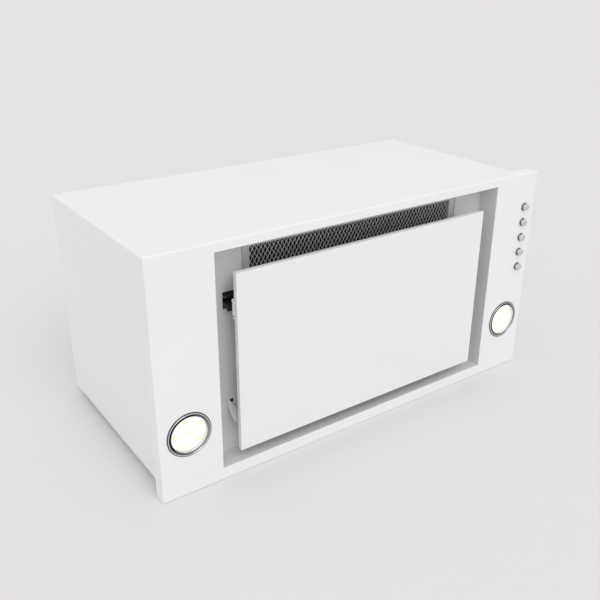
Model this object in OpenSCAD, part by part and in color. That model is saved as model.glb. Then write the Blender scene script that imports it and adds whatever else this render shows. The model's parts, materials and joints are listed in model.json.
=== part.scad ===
// Built-in cooker hood with a hinged perimeter panel, standing on its long side:
// the face looks towards -Y, the duct leaves towards +Y, and +Z is up.
// The origin is on the duct's axis, at the outside of the back cover.

/* [Body] */
// Width of the body
body_w = 584; // [580:1:586]
// Height of the body
body_h = 282.5; // [281:0.5:284]
// Depth from the face plate's front to the back cover's outside
body_d = 294; // [292:1:330]
// Thickness of the painted sheet steel
sheet = 1; // [0.8:0.1:1.2]
// Thickness of the back cover
cover_t = 1.2; // [1:0.1:1.5]

/* [Face] */
// Width of the face plate
face_w = 598; // [594:1:604]
// Height of the face plate
face_h = 301.5; // [300:0.5:304]
// Drop of the face plate below the body
face_drop = 11; // [10:0.5:12]
// Depth of the rim that is folded back round the face plate
rim_d = 17; // [14:0.5:20]

/* [Recess] */
// Width of the opening in the face plate
open_w = 437.6; // [434:0.2:440]
// Height of the opening
open_h = 273.5; // [272:0.5:274]
// Height of the opening's lower edge over the face plate's lower edge
open_sill = 16.2; // [16:0.1:17]
// Depth of the recess behind the face
recess_d = 30; // [30:0.5:34]

/* [Panel] */
// Width of the panel
panel_w = 390; // [388:1:392]
// Height of the panel
panel_h = 231.2; // [228:0.2:234]
// Gap between the panel and the opening's lower edge
panel_gap = 14.4; // [14:0.2:16]
// Thickness of the panel
panel_t = 6; // [5:0.5:6]

/* [Filter] */
// Width of the grease filter
filter_w = 336; // [330:1:338]
// Height of the grease filter
filter_h = 267; // [260:0.5:267]
// Thickness of the grease filter
filter_t = 8; // [7:0.5:8]
// Width of the filter frame's bars
filter_bar = 11.5; // [10:0.5:12]

/* [Lamps and buttons] */
// Distance of each lamp's axis from the middle
lamp_x = 261; // [258:0.5:262]
// Height of the lamps' axes over the face plate's lower edge
lamp_rise = 80.8; // [76:0.2:90]
// Radius of the lamp's bright ring
lamp_r = 27.6; // [27:0.1:28]
// Distance of the buttons' axes from the middle
button_x = 278; // [276:0.5:278]
// Height of the middle button over the face plate's lower edge
button_rise = 207.3; // [200:0.1:212]
// Pitch of the buttons
button_pitch = 22.5; // [22:0.1:23]
// Radius of a button's cap
button_r = 4.4; // [4:0.1:4.6]
// Travel of a button
button_travel = 2.5; // [2:0.1:3]

/* [Blower and duct] */
// Outer radius of the duct collar
duct_r = 74.7; // [74:0.1:74.8]
// Length of the collar outside the back cover
duct_l = 40; // [35:1:50]
// Radius of the impeller
fan_r = 70; // [66:0.5:71]
// Half the impeller's length
fan_l = 65; // [60:0.5:66]
// Radius of the motor
motor_r = 42; // [38:0.5:44]

/* [Hidden] */
$fn = 64;

running = 0.05;      // radial clearance of a running fit
press = 0.02;        // radial clearance of a pressed fit
screw_r = 1.5;       // the small screws: shank, clearance hole and head
hole_r = 1.6;
head_r = 3.2;
head_h = 2;
loose = 0.3;         // clearance between pieces that only sit together
past = 1;            // how far a cutting solid runs past what it cuts

face_y = -body_d;
face_lo = -body_h / 2 - face_drop;
face_hi = face_lo + face_h;
lip_y = face_y + rim_d;
open_lo = face_lo + open_sill;
open_hi = open_lo + open_h;
open_mid = (open_lo + open_hi) / 2;
recess_y = face_y + recess_d;
plate_y = recess_y + sheet;

cover_tab = 14;      // width of the shell's flange behind the back cover
hang_x = 240;        // hanging holes, from the middle
hang_z = 105;
hang_r = 3.25;
cover_hole_r = 1.7;
side_screws = [[285, 70], [150, 134.2]];

panel_lo = open_lo + panel_gap;
panel_hi = panel_lo + panel_h;
panel_y = face_y + panel_t;
panel_wall = sheet + loose;  // the inner pan stands this far inside the skin's outline

hinge_y = face_y + 9.5;
hinge_z = panel_lo + 6.4;
pin_r = 1.5;
arm_x = [-195, -186];   // sides of the left arm's strip
arm_t = 2;           // thickness of the strip
arm_eye = 3;         // outer radius of its eye, and the width of its narrow end
arm_y = [plate_y + arm_t / 2, face_y + 9];  // middle of the strip behind the plate and behind the panel
arm_z = [-66.3, -91.6];                     // heights of its two bends
arm_k = arm_t / 2 * tan(atan2(arm_y[0] - arm_y[1], arm_z[0] - arm_z[1]) / 2);
slot_x = [arm_x[0] - 0.4, arm_x[1] + 0.4];
slot_z = [arm_z[0] - 4.2, arm_z[0] + 0.9];
foot_x = -175;       // the arm's screws
foot_z = [-50.3, -40.3];
lug_x = -184.5;
lug_t = 2;
lug_r = 3.3;
lug_h = 18;
lug_foot = 20;       // width and thickness of the lug's foot on the panel
lug_foot_t = 1.5;
bumper_x = 176;      // rubber bumpers behind the panel
bumper_z = [panel_lo + 100, panel_hi - 15];
bumper_r = 3.5;

catch_x = -186.1;
catch_z = [54.9, 75.1];   // lower and upper side of the catch's body
catch_w = 17.6;
catch_y = recess_y + 0.5;
catch_d = 17;
mouth_z = [63.6, 68.8];   // the mouth between its jaws
mouth_d = 12;
jaw_t = 1.4;
jaw_root = recess_y - 4;
jaw_tip = recess_y - 11;
jaw_lo = 55.7;            // heights of the jaws' tips
jaw_hi = 76.5;

strike_z = (mouth_z[0] + mouth_z[1]) / 2;
strike_t = 1.2;
web_z = [51, 75];         // the strike's side web, and its holes
web_d = 4.6;
web_holes = [54, 70.3];
web_x = catch_x - 7.7;
web_hole_r = 1.1;
tongue_w = 7;             // its tongue and the bead along the tongue's tip
tongue_l = 18;
tongue_t = 1.6;
bead_r = 1.4;
strike_head_r = 2.6;
strike_head_h = 1.5;

seat_gap = 0.5;      // gap round the filter in its seat
seat_lip = 6;
mesh_back = 1.5;     // the mesh stands this far inside the frame's front and back
filter_y = recess_y + 0.5;
handle_x = 29;       // half the handle's width
handle_y = filter_y - 2;
handle_z = open_mid - filter_h / 2 + 8.8;
handle_l = 8;
handle_r = 1;        // half the thickness of its bars

lamp_z = face_lo + lamp_rise;
lamp_proud = 1.4;
sleeve_r = 25.4;
sleeve_l = 18;
lens_r = 23.9;
led_ring_r = 16.5;
led_half = 1.75;     // half a LED's side, and how far it stands off its board
led_tall = 2.5;
board_r = 23.5;
board_t = 1.5;
led_first = -13;     // turn of the first outer LED from straight up
can_y = face_y + 11;
can_l = 21;
can_wall = 1.5;
clip_w = 8;
clip_t = 0.8;
clip_reach = 9;      // from the lamp's can to the clip's outer leg
clip_y = can_y + 13;

button_z = face_lo + button_rise;
button_top = face_y - 3.5 - button_travel;
stem_r = 2;
stem_y = face_y + 5;      // where the cap ends and the stem begins
bezel_w = 1.2;            // width of the bezel's flange and of its neck
neck_w = 0.5;
bezel_proud = 1.5;
spring_r = 2.9;
spring_wire = 0.3;
block_y = face_y + 10;
block_d = 22;
block_w = 20;
block_h = 4 * button_pitch + 22;
block_leg = 2;       // half the height of its two legs

fan_y = -150;
fan_z = -30;
scroll_a = -20;      // the spiral's first angle, at the cut-off
scroll_turn = 250;
scroll_steps = 50;
scroll_r0 = fan_r + 8;
scroll_r1 = fan_r + 38;
blower_x = 80;       // half the blower's width
blower_wall = 2;
outlet_y = -cover_t - 2;
outlet_half = 78;
flange_half = 88;
flange_hole = 82;
inlet_r = 60;
boss_r = 5;
boss_l = 14;
boss_angles = [-60, -110, -160, -210];
blade_count = 36;
shaft_r = 4;
blade_w = 12.8;      // width, thickness and turn of a blade
blade_t = 1;
blade_turn = 35;
fan_ring = 13;       // width of the end rings
hub_r = 10;
bearing_r = 8;
bearing_l = 6;
rotor_r = 19.8;
stator_bore = 20.5;
motor_x = [14, 84];
arm_hole_r = 70;     // the motor bracket's screws, from the motor's axis
arm_screw_r = 2;
bracket_t = 2.5;
bush_r = 6;
bush_l = 4;

collar_wall = 2;
collar_step = 2.3;   // the collar's root stands out this far and is flush with the cover
flap_y = 4;
flap_r = duct_r - collar_wall - 0.7;
flap_t = 1.2;
axle_r = 1.5;
knuckle_r = 3;
knuckle_l = 16;

box_x = [-282, -192];
box_z = [-45, 30];
box_y = -46;
box_wall = 2;
gland_x = -237;
gland_z = -8;
gland_r = 9.8;
nut_r = 13.8;        // the gland's flange, 5 long, and its neck
neck_r = 7.8;
cord_r = 4.5;
lead_r = 2.5;
lead_bend = 10;
cap_place = [190, -20, 20];
cap_r = 16;
cap_h = 60;
leads = [
    [[-230, -25, 30], [-230, -25, 130], [270, -25, 130], [270, -235, 130],
        [278, -235, 60], [278, -262, 60]],
    [[278, -262, 10], [278, -15, 10], [278, -15, -30], [230, -15, -30]],
    [[190, -30, -40], [190, -60, -40], [261, -60, -71.5], [261, -262, -71.5]],
    [[-250, -48, 0], [-250, -230, 0], [-261, -230, -71.5], [-261, -262, -71.5]],
    [[-210, -25, 30], [-210, -25, 118], [120, -25, 118], [120, -150, 118],
        [120, -150, -12], [86.5, -150, -12]],
    [[190, -20, 80], [190, -20, 105], [135, -20, 105], [135, -150, 105],
        [135, -150, -48], [86.5, -150, -48]]
];

white = "#f2f3f5";
zinc = "#b9bdc2";
black = "#1b1c1e";

// A box from its low and high sides
module slab(x0, x1, y0, y1, z0, z1) translate([x0, y0, z0]) cube([x1 - x0, y1 - y0, z1 - z0]);

// A round bar along Y, and one along X
module rod_y(r, y0, y1) translate([0, y0, 0]) rotate([-90, 0, 0]) cylinder(r = r, h = y1 - y0);
module rod_x(r, x0, x1) translate([x0, 0, 0]) rotate([0, 90, 0]) cylinder(r = r, h = x1 - x0);

module ring_y(r, bore, y0, y1) difference() {
    rod_y(r, y0, y1);
    rod_y(bore, y0 - past, y1 + past);
}

module ring_x(r, bore, x0, x1) difference() {
    rod_x(r, x0, x1);
    rod_x(bore, x0 - past, x1 + past);
}

// A flat outline drawn in Y and Z, made t thick along X from x0
module plate_x(x0, t) translate([x0, 0, 0]) rotate([90, 0, 90]) linear_extrude(t) children();

// What is drawn on the left, on the left or mirrored to the right
module on_side(s) {
    if (s < 0) children();
    else mirror([1, 0, 0]) children();
}

// A pan-head screw whose head's underside is at y0 and whose shank runs to y1, further in
module screw_y(y0, y1) {
    rod_y(screw_r, min(y0, y1), max(y0, y1));
    rod_y(head_r, y0 > y1 ? y0 : y0 - head_h, y0 > y1 ? y0 + head_h : y0);
}

function unit(v) = v / norm(v);
function along(p, i) = unit(p[min(i + 1, len(p) - 1)] - p[max(i - 1, 0)]);
function first_side(a) = unit(cross(a, abs(a.z) < 0.8 ? [0, 0, 1] : [0, 1, 0]));
function side_at(p, i) = i == 0 ? first_side(along(p, 0))
    : let (s = side_at(p, i - 1), a = along(p, i)) unit(s - (s * a) * a);
function corner(a, b, c, r) = let (p = b + r * unit(a - b), q = b + r * unit(c - b))
    [for (t = [0 : 0.25 : 1]) pow(1 - t, 2) * p + 2 * t * (1 - t) * b + pow(t, 2) * q];
function rounded(v, r) = [
    v[0],
    for (i = [1 : len(v) - 2]) each corner(v[i - 1], v[i], v[i + 1], r),
    v[len(v) - 1]
];

// A closed tube of radius r through the points p
module tube(p, r, sides = 8) {
    n = len(p);
    points = [
        for (i = [0 : n - 1]) let (a = along(p, i), s = side_at(p, i), t = cross(a, s))
            for (k = [0 : sides - 1])
                p[i] + r * (cos(360 * k / sides) * s + sin(360 * k / sides) * t)
    ];
    walls = [
        for (i = [0 : n - 2], k = [0 : sides - 1]) let (m = (k + 1) % sides)
            [i * sides + k, (i + 1) * sides + k, (i + 1) * sides + m, i * sides + m]
    ];
    first = [for (k = [0 : sides - 1]) k];
    last = [for (k = [sides - 1 : -1 : 0]) (n - 1) * sides + k];
    polyhedron(points = points, faces = concat(walls, [first, last]));
}

module cover_screw_places() {
    for (p = side_screws, sx = [-1, 1], sz = [-1, 1]) translate([sx * p[0], 0, sz * p[1]]) children();
}

module collar_screw_places() {
    for (sx = [-1, 1], sz = [-1, 1]) translate([sx * flange_hole, 0, sz * flange_hole]) children();
}

// ---- body ----

module housing_shell() color(white) difference() {
    slab(-body_w / 2, body_w / 2, face_y + sheet, -cover_t, -body_h / 2, body_h / 2);
    slab(-body_w / 2 + sheet, body_w / 2 - sheet, face_y, -cover_t - sheet,
        -body_h / 2 + sheet, body_h / 2 - sheet);
    slab(-body_w / 2 + cover_tab, body_w / 2 - cover_tab, face_y, past,
        -body_h / 2 + cover_tab, body_h / 2 - cover_tab);
    cover_screw_places() rod_y(hole_r, -10, past);
}

module back_cover() color(white) difference() {
    slab(-body_w / 2, body_w / 2, -cover_t, 0, -body_h / 2, body_h / 2);
    rod_y(duct_r + collar_step + loose, -cover_t - past, past);
    translate([gland_x, 0, gland_z]) rod_y(gland_r + 0.2, -cover_t - past, past);
    for (sx = [-1, 1], sz = [-1, 1])
        translate([sx * hang_x, 0, sz * hang_z]) rod_y(hang_r, -cover_t - past, past);
    cover_screw_places() rod_y(cover_hole_r, -cover_t - past, past);
    collar_screw_places() rod_y(cover_hole_r, -cover_t - past, past);
}

module cover_screws() color(zinc) {
    cover_screw_places() screw_y(0, -8);
    collar_screw_places() screw_y(0, -10);
}

module face_frame() color(white) difference() {
    slab(-face_w / 2, face_w / 2, face_y, lip_y, face_lo, face_hi);
    slab(-face_w / 2 + sheet, face_w / 2 - sheet, face_y + sheet, lip_y - sheet,
        face_lo + sheet, face_hi - sheet);
    slab(-body_w / 2 - loose, body_w / 2 + loose, face_y + sheet, lip_y + past,
        -body_h / 2 - loose, body_h / 2 + loose);
    slab(-open_w / 2, open_w / 2, face_y - past, face_y + 2 * sheet, open_lo, open_hi);
    for (s = [-1, 1]) translate([s * lamp_x, 0, lamp_z])
        rod_y(sleeve_r + 0.2, face_y - past, face_y + 2 * sheet);
    button_places() rod_y(button_r + 0.7, face_y - past, face_y + 2 * sheet);
}

module recess_tray() color(white) {
    seat_w = filter_w / 2 + seat_gap;
    seat_h = filter_h / 2 + seat_gap;
    seat_y = filter_y + filter_t + 1;
    difference() {
        union() {
            slab(-open_w / 2 - sheet, open_w / 2 + sheet, face_y + sheet, plate_y,
                open_lo - sheet, open_hi + sheet);
            slab(-seat_w - sheet, seat_w + sheet, plate_y, seat_y + sheet,
                open_mid - seat_h - sheet, open_mid + seat_h + sheet);
        }
        slab(-open_w / 2, open_w / 2, face_y, recess_y, open_lo, open_hi);
        slab(-seat_w, seat_w, face_y, seat_y, open_mid - seat_h, open_mid + seat_h);
        slab(-seat_w + seat_lip, seat_w - seat_lip, face_y, seat_y + 2 * sheet,
            open_mid - seat_h + seat_lip, open_mid + seat_h - seat_lip);
        for (s = [-1, 1]) on_side(s) {
            slab(slot_x[0], slot_x[1], recess_y - past, plate_y + past, slot_z[0], slot_z[1]);
            slab(catch_x - catch_w / 2 - loose, catch_x + catch_w / 2 + loose,
                recess_y - past, plate_y + past, catch_z[0] - loose, catch_z[1] + loose);
            for (z = foot_z) translate([foot_x, 0, z]) rod_y(hole_r, recess_y - past, plate_y + past);
        }
    }
}

// ---- panel ----

module panel_skin() color(white) difference() {
    slab(-panel_w / 2, panel_w / 2, face_y, panel_y, panel_lo, panel_hi);
    slab(-panel_w / 2 + sheet, panel_w / 2 - sheet, face_y + sheet, panel_y + past,
        panel_lo + sheet, panel_hi - sheet);
}

module panel_back() color(white) difference() {
    slab(-panel_w / 2 + panel_wall, panel_w / 2 - panel_wall, face_y + sheet, panel_y,
        panel_lo + panel_wall, panel_hi - panel_wall);
    slab(-panel_w / 2 + panel_wall + sheet, panel_w / 2 - panel_wall - sheet, face_y, panel_y - sheet,
        panel_lo + panel_wall + sheet, panel_hi - panel_wall - sheet);
    for (s = [-1, 1]) on_side(s) strike_screw_places() rod_y(hole_r, face_y + 2 * sheet, panel_y + past);
}

module panel_bumpers() color(black)
    for (s = [-1, 1], z = bumper_z)
        translate([s * bumper_x, 0, z]) rod_y(bumper_r, panel_y, recess_y - loose);

module hinge_lugs() color(zinc) for (s = [-1, 1]) on_side(s) difference() {
    union() {
        slab(lug_x, lug_x + lug_foot, panel_y, panel_y + lug_foot_t, hinge_z + lug_r, hinge_z + lug_h);
        plate_x(lug_x, lug_t) {
            translate([hinge_y, hinge_z]) circle(lug_r);
            translate([panel_y, hinge_z - lug_r]) square([hinge_y - panel_y, 2 * lug_r]);
            translate([panel_y, hinge_z]) square([hinge_y - panel_y, lug_h]);
        }
    }
    translate([0, hinge_y, hinge_z]) rod_x(pin_r + press, lug_x - past, lug_x + lug_t + past);
}

module hinge_pins() color(zinc) for (s = [-1, 1]) on_side(s) translate([0, hinge_y, hinge_z]) {
    rod_x(pin_r, arm_x[1] - arm_eye, lug_x + lug_t);
    rod_x(pin_r + 1, lug_x + lug_t, lug_x + lug_t + lug_foot_t);
}

// Half of the strip's outline in Y and Z: side is -1 for its front and 1 for its back
function arm_side(side, top, low) = [
    [arm_y[0] + side * arm_t / 2, top],
    [arm_y[0] + side * arm_t / 2, arm_z[0] - side * arm_k],
    [arm_y[1] + side * arm_t / 2, arm_z[1] - side * arm_k],
    [arm_y[1] + side * arm_t / 2, low]
];
function arm_outline(top, low) = concat(
    arm_side(-1, top, low),
    [for (i = [3 : -1 : 0]) arm_side(1, top, low)[i]]
);

// A strip bent from behind the plate, through its slot, to an eye on the pin behind the panel
module hinge_arm() color("#dfe2e6") difference() {
    foot_top = foot_z[1] + 6;
    union() {
        intersection() {
            plate_x(arm_x[0], arm_x[1] - arm_x[0]) polygon(arm_outline(foot_top, hinge_z));
            translate([0, plate_y + 2 * arm_t, 0]) rotate([90, 0, 0]) linear_extrude(recess_d) polygon([
                [arm_x[0], foot_top], [arm_x[0], arm_z[1] + 7],
                [arm_x[1] - arm_eye, arm_z[1] + 1], [arm_x[1] - arm_eye, hinge_z - past],
                [arm_x[1], hinge_z - past], [arm_x[1], arm_z[0] - 10], [arm_x[1] - 4, arm_z[0] - 2],
                [arm_x[1] - 4, arm_z[0] + 2], [arm_x[1], arm_z[0] + 6], [arm_x[1], foot_top]
            ]);
        }
        plate_x(arm_x[1] - arm_eye, arm_eye) translate([hinge_y, hinge_z]) circle(arm_eye);
        slab(arm_x[0], foot_x + 4, plate_y, plate_y + arm_t, foot_z[0] - 6, foot_top);
    }
    translate([0, hinge_y, hinge_z]) rod_x(pin_r + running, arm_x[0], arm_x[1] + past);
    for (z = foot_z) translate([foot_x, 0, z]) rod_y(hole_r, plate_y - past, plate_y + arm_t + past);
}
module hinge_arm_left() hinge_arm();
module hinge_arm_right() on_side(1) hinge_arm();

module hinge_screws() color(zinc) for (s = [-1, 1]) on_side(s)
    for (z = foot_z) translate([foot_x, 0, z]) screw_y(plate_y + arm_t, recess_y);

// One jaw of a catch, from the body out to its flared tip: side is -1 for the lower jaw
module jaw(side, root_z, tip_z) plate_x(catch_x - catch_w / 2, catch_w) polygon([
    [catch_y + past, root_z],
    [jaw_root, root_z],
    [jaw_tip, tip_z],
    [jaw_tip, tip_z + side * jaw_t],
    [jaw_root, root_z + side * 2 * jaw_t],
    [catch_y + past, root_z + side * 2 * jaw_t]
]);

// One-piece snap catch: a body in the plate's cut-out with two flared jaws
module catch() color(black) {
    difference() {
        slab(catch_x - catch_w / 2, catch_x + catch_w / 2, catch_y, catch_y + catch_d,
            catch_z[0], catch_z[1]);
        slab(catch_x - catch_w, catch_x + catch_w, catch_y - past, catch_y + mouth_d, mouth_z[0], mouth_z[1]);
    }
    jaw(-1, mouth_z[0], jaw_lo + jaw_t);
    jaw(1, mouth_z[1], jaw_hi - jaw_t);
}
module catch_left() catch();
module catch_right() on_side(1) catch();

module strike_screw_places() {
    for (z = [strike_z - 8, strike_z + 6]) translate([catch_x + 5.5, 0, z]) children();
}

// Strike bracket: a foot on the panel, a side web with two holes and a tongue with a bead
module strike() color(white) difference() {
    union() {
        slab(web_x, catch_x + 9, panel_y, panel_y + strike_t, web_z[0], web_z[1]);
        slab(web_x, web_x + strike_t, panel_y, panel_y + web_d, web_z[0], web_z[1]);
        slab(catch_x, catch_x + tongue_w, panel_y, panel_y + tongue_l,
            strike_z - tongue_t / 2, strike_z + tongue_t / 2);
        translate([0, panel_y + tongue_l, strike_z]) rod_x(bead_r, catch_x, catch_x + tongue_w);
    }
    for (z = web_holes) translate([0, panel_y + 2.4, z])
        rod_x(web_hole_r, web_x - past, web_x + strike_t + past);
    strike_screw_places() rod_y(hole_r, panel_y - past, panel_y + strike_t + past);
}
module strike_left() strike();
module strike_right() on_side(1) strike();

module strike_screws() color(zinc) for (s = [-1, 1]) on_side(s) {
    strike_screw_places() {
        rod_y(screw_r, panel_y - 4, panel_y + strike_t);
        rod_y(strike_head_r, panel_y + strike_t, panel_y + strike_t + strike_head_h);
    }
}

// ---- filter ----

module filter_frame() color("#c9ccd0") {
    w = filter_w / 2;
    lo = open_mid - filter_h / 2;
    hi = open_mid + filter_h / 2;
    difference() {
        slab(-w, w, filter_y, filter_y + filter_t, lo, hi);
        slab(-w + filter_bar, w - filter_bar, filter_y - past, filter_y + filter_t + past,
            lo + filter_bar, hi - filter_bar);
    }
    for (s = [-1, 1]) on_side(s) difference() {
        slab(-handle_x - 5, -handle_x - 2, filter_y - 4, filter_y, handle_z - 2, handle_z + 2);
        translate([0, handle_y, handle_z]) rod_x(handle_r + running, -handle_x - 6, -handle_x - 1);
    }
}

module filter_mesh() color("#55585c") slab(-filter_w / 2 + filter_bar, filter_w / 2 - filter_bar,
    filter_y + mesh_back, filter_y + filter_t - mesh_back,
    open_mid - filter_h / 2 + filter_bar, open_mid + filter_h / 2 - filter_bar);

module filter_handle() color(zinc) {
    for (s = [-1, 1]) on_side(s) {
        translate([0, handle_y, handle_z]) rod_x(handle_r, -handle_x - 5, -handle_x);
        slab(-handle_x - handle_r, -handle_x + handle_r, handle_y - handle_r, handle_y + handle_r,
            handle_z - handle_l, handle_z + handle_r);
    }
    slab(-handle_x, handle_x, handle_y - handle_r, handle_y + handle_r,
        handle_z - handle_l, handle_z - handle_l + 2 * handle_r);
}

// ---- lamps, drawn about their own axis ----

module lamp_ring() color("silver") translate([-lamp_x, 0, lamp_z]) {
    ring_y(lamp_r, lens_r + 0.1, face_y - lamp_proud, face_y);
    ring_y(sleeve_r, lens_r + 0.1, face_y, face_y + sleeve_l);
}
module lamp_ring_left() lamp_ring();
module lamp_ring_right() on_side(1) lamp_ring();

module lamp_lens() color("#fffdf0") translate([-lamp_x, 0, lamp_z])
    rod_y(lens_r, face_y - 0.4, face_y + 2.6);
module lamp_lens_left() lamp_lens();
module lamp_lens_right() on_side(1) lamp_lens();

module led_board() color("#e9ebe4") translate([-lamp_x, 0, lamp_z]) {
    rod_y(board_r, can_y - board_t, can_y);
    slab(-led_half, led_half, can_y - led_tall, can_y - 1, -led_half, led_half);
    for (i = [0 : 4]) rotate([0, led_first + 72 * i, 0])
        slab(-led_half, led_half, can_y - led_tall, can_y - 1, led_ring_r - led_half, led_ring_r + led_half);
}
module led_board_left() led_board();
module led_board_right() on_side(1) led_board();

module lamp_can() color("#d5d7da") translate([-lamp_x, 0, lamp_z]) difference() {
    rod_y(lens_r, can_y, can_y + can_l);
    rod_y(lens_r - can_wall, can_y - past, can_y + can_l - can_wall);
}
module lamp_can_left() lamp_can();
module lamp_can_right() on_side(1) lamp_can();

// Leaf clips that pull each lamp against the face plate
module lamp_clips() color(zinc) for (s = [-1, 1], t = [-1, 1]) translate([s * lamp_x, 0, lamp_z])
    mirror([0, 0, t < 0 ? 1 : 0]) {
        slab(-clip_w / 2, clip_w / 2, clip_y - clip_t, clip_y, lens_r, lens_r + clip_reach);
        slab(-clip_w / 2, clip_w / 2, face_y + sheet, clip_y,
            lens_r + clip_reach - clip_t, lens_r + clip_reach);
    }

// ---- buttons ----

module button_places() {
    for (i = [-2 : 2]) translate([button_x, 0, button_z + i * button_pitch]) children();
}

module button(i) color("#9a9da1") translate([button_x, 0, button_z + i * button_pitch]) {
    rod_y(button_r, button_top, stem_y);
    rod_y(stem_r, stem_y, block_y + 4);
}
module button_1() button(2);
module button_2() button(1);
module button_3() button(0);
module button_4() button(-1);
module button_5() button(-2);

module button_bezels() color("#8a8d91") button_places() {
    ring_y(button_r + bezel_w, button_r + running, face_y - bezel_proud, face_y);
    ring_y(button_r + neck_w, button_r + running, face_y, stem_y - past);
}

module button_springs() color(zinc) button_places()
    tube([for (a = [0 : 30 : 1080]) [spring_r * cos(a), stem_y + 0.4 + 4.2 * a / 1080, spring_r * sin(a)]],
        spring_wire, 6);

module switch_block() color(black) difference() {
    union() {
        slab(button_x - block_w / 2, button_x + block_w / 2, block_y, block_y + block_d,
            button_z - block_h / 2, button_z + block_h / 2);
        for (t = [-1, 1]) translate([0, 0, button_z + t * (block_h / 2 - block_leg)])
            slab(button_x - block_w / 2, button_x + block_w / 2, face_y + sheet, block_y + past,
                -block_leg, block_leg);
    }
    button_places() rod_y(stem_r + running, block_y - past, block_y + 12);
}

// ---- blower ----

// The spiral's outline in Y and Z, moved in by t, with its outlet's end at y_end
function scroll_r(u) = scroll_r0 + (scroll_r1 - scroll_r0) * u;
function scroll(t, y_end) = concat(
    [for (i = [0 : scroll_steps])
        let (u = i / scroll_steps, a = scroll_a - scroll_turn * u, r = scroll_r(u) - t)
            [fan_y + r * cos(a), fan_z + r * sin(a)]],
    [[y_end, fan_z + scroll_r1 - t], [y_end, -outlet_half + t], [-40, -outlet_half + t]]
);
function boss_at(a) = let (r = scroll_r((scroll_a - a) / scroll_turn) + boss_r - 1)
    [0, fan_y + r * cos(a), fan_z + r * sin(a)];

module blower_half() color("#3a3c40") difference() {
    union() {
        plate_x(-blower_x, blower_x) polygon(scroll(0, outlet_y));
        for (a = boss_angles) translate(boss_at(a)) rod_x(boss_r, -boss_l, 0);
        slab(-flange_half, 0, outlet_y - 2, outlet_y, -flange_half, flange_half);
    }
    plate_x(-blower_x + blower_wall, blower_x) polygon(scroll(blower_wall, past));
    translate([0, fan_y, fan_z]) rod_x(inlet_r, -blower_x - past, -blower_x + 2 * blower_wall);
    for (a = boss_angles) translate(boss_at(a)) rod_x(hole_r, -boss_l - past, past);
    collar_screw_places() rod_y(hole_r, outlet_y - 3, outlet_y + past);
}
module blower_half_left() blower_half();
module blower_half_right() difference() {
    on_side(1) blower_half();
    motor_screw_places() rod_x(arm_screw_r + 0.1, blower_x - 2 * blower_wall, blower_x + past);
}

module motor_screw_places() {
    for (i = [0 : 2]) translate([0, fan_y, fan_z]) rotate([120 * i, 0, 0])
        translate([0, 0, arm_hole_r]) children();
}

module blower_screws() color(zinc) {
    for (a = boss_angles) translate(boss_at(a)) {
        rod_x(screw_r, -12, boss_l);
        rod_x(2 * screw_r, boss_l, boss_l + 2);
    }
    motor_screw_places() {
        rod_x(arm_screw_r, blower_x - 6, motor_x[1] + bracket_t);
        rod_x(2 * arm_screw_r, motor_x[1] + bracket_t, motor_x[1] + bracket_t + 2);
    }
}

module impeller() color("#74777b") translate([0, fan_y, fan_z]) difference() {
    union() {
        rod_x(fan_r, -1.5, 1.5);
        rod_x(hub_r, -10, 2);
        for (s = [-1, 1]) on_side(s) ring_x(fan_r, fan_r - fan_ring, -fan_l, -fan_l + 2);
        for (i = [0 : blade_count - 1]) rotate([360 * i / blade_count, 0, 0])
            translate([0, 0, fan_r - fan_ring / 2]) rotate([blade_turn, 0, 0])
                slab(-fan_l + 1, fan_l - 1, -blade_t / 2, blade_t / 2, -blade_w / 2, blade_w / 2);
    }
    rod_x(shaft_r + press, -11, 3);
}

module motor_case() color(zinc) translate([0, fan_y, fan_z]) difference() {
    rod_x(motor_r, motor_x[0], motor_x[1]);
    rod_x(motor_r - 2, motor_x[0] + 2, motor_x[1] - 2);
    rod_x(bearing_r + press, motor_x[0] - past, motor_x[1] + past);
}

module motor_stator() color("#b87333") translate([0, fan_y, fan_z])
    ring_x(motor_r - 2.1, stator_bore, motor_x[0] + 16, motor_x[1] - 16);

module motor_rotor() color("#7d8085") translate([0, fan_y, fan_z])
    ring_x(rotor_r, shaft_r + press, motor_x[0] + 18, motor_x[1] - 18);

module motor_shaft() color("silver") translate([0, fan_y, fan_z]) rod_x(shaft_r, -12, motor_x[1] + 2);

module motor_bearings() color("#c08a4a") translate([0, fan_y, fan_z]) {
    ring_x(bearing_r, shaft_r + running, motor_x[0], motor_x[0] + bearing_l);
    ring_x(bearing_r, shaft_r + running, motor_x[1] - bearing_l, motor_x[1]);
}

module motor_bracket() color(zinc) difference() {
    union() {
        translate([0, fan_y, fan_z]) rod_x(motor_r - 2, motor_x[1], motor_x[1] + bracket_t);
        for (i = [0 : 2]) translate([0, fan_y, fan_z]) rotate([120 * i, 0, 0])
            slab(motor_x[1], motor_x[1] + bracket_t, -7, 7, 20, arm_hole_r + 7);
    }
    translate([0, fan_y, fan_z]) rod_x(bearing_r + 1, motor_x[1] - past, motor_x[1] + bracket_t + past);
    motor_screw_places() rod_x(arm_screw_r + 0.2, motor_x[1] - past, motor_x[1] + bracket_t + past);
}

module motor_bushes() color(black) motor_screw_places()
    ring_x(bush_r, arm_screw_r + 0.15, blower_x, blower_x + bush_l);

// ---- duct collar and its two non-return flaps ----

module duct_flange() color("#3a3c40") difference() {
    slab(-flange_half, flange_half, outlet_y, -cover_t, -flange_half, flange_half);
    rod_y(duct_r + collar_step + running, outlet_y - past, past);
    collar_screw_places() rod_y(hole_r, outlet_y - past, past);
}

module duct_collar() color("#3a3c40") difference() {
    union() {
        rod_y(duct_r + collar_step, outlet_y, 0);
        rod_y(duct_r, -past, duct_l);
    }
    rod_y(duct_r - collar_wall, outlet_y - past, duct_l + past);
    translate([0, flap_y, -duct_r]) cylinder(r = axle_r + press, h = 2 * duct_r);
}

module flap_axle() color("silver") translate([0, flap_y, -duct_r + 0.6])
    cylinder(r = axle_r, h = 2 * duct_r - 1.2);

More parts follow.
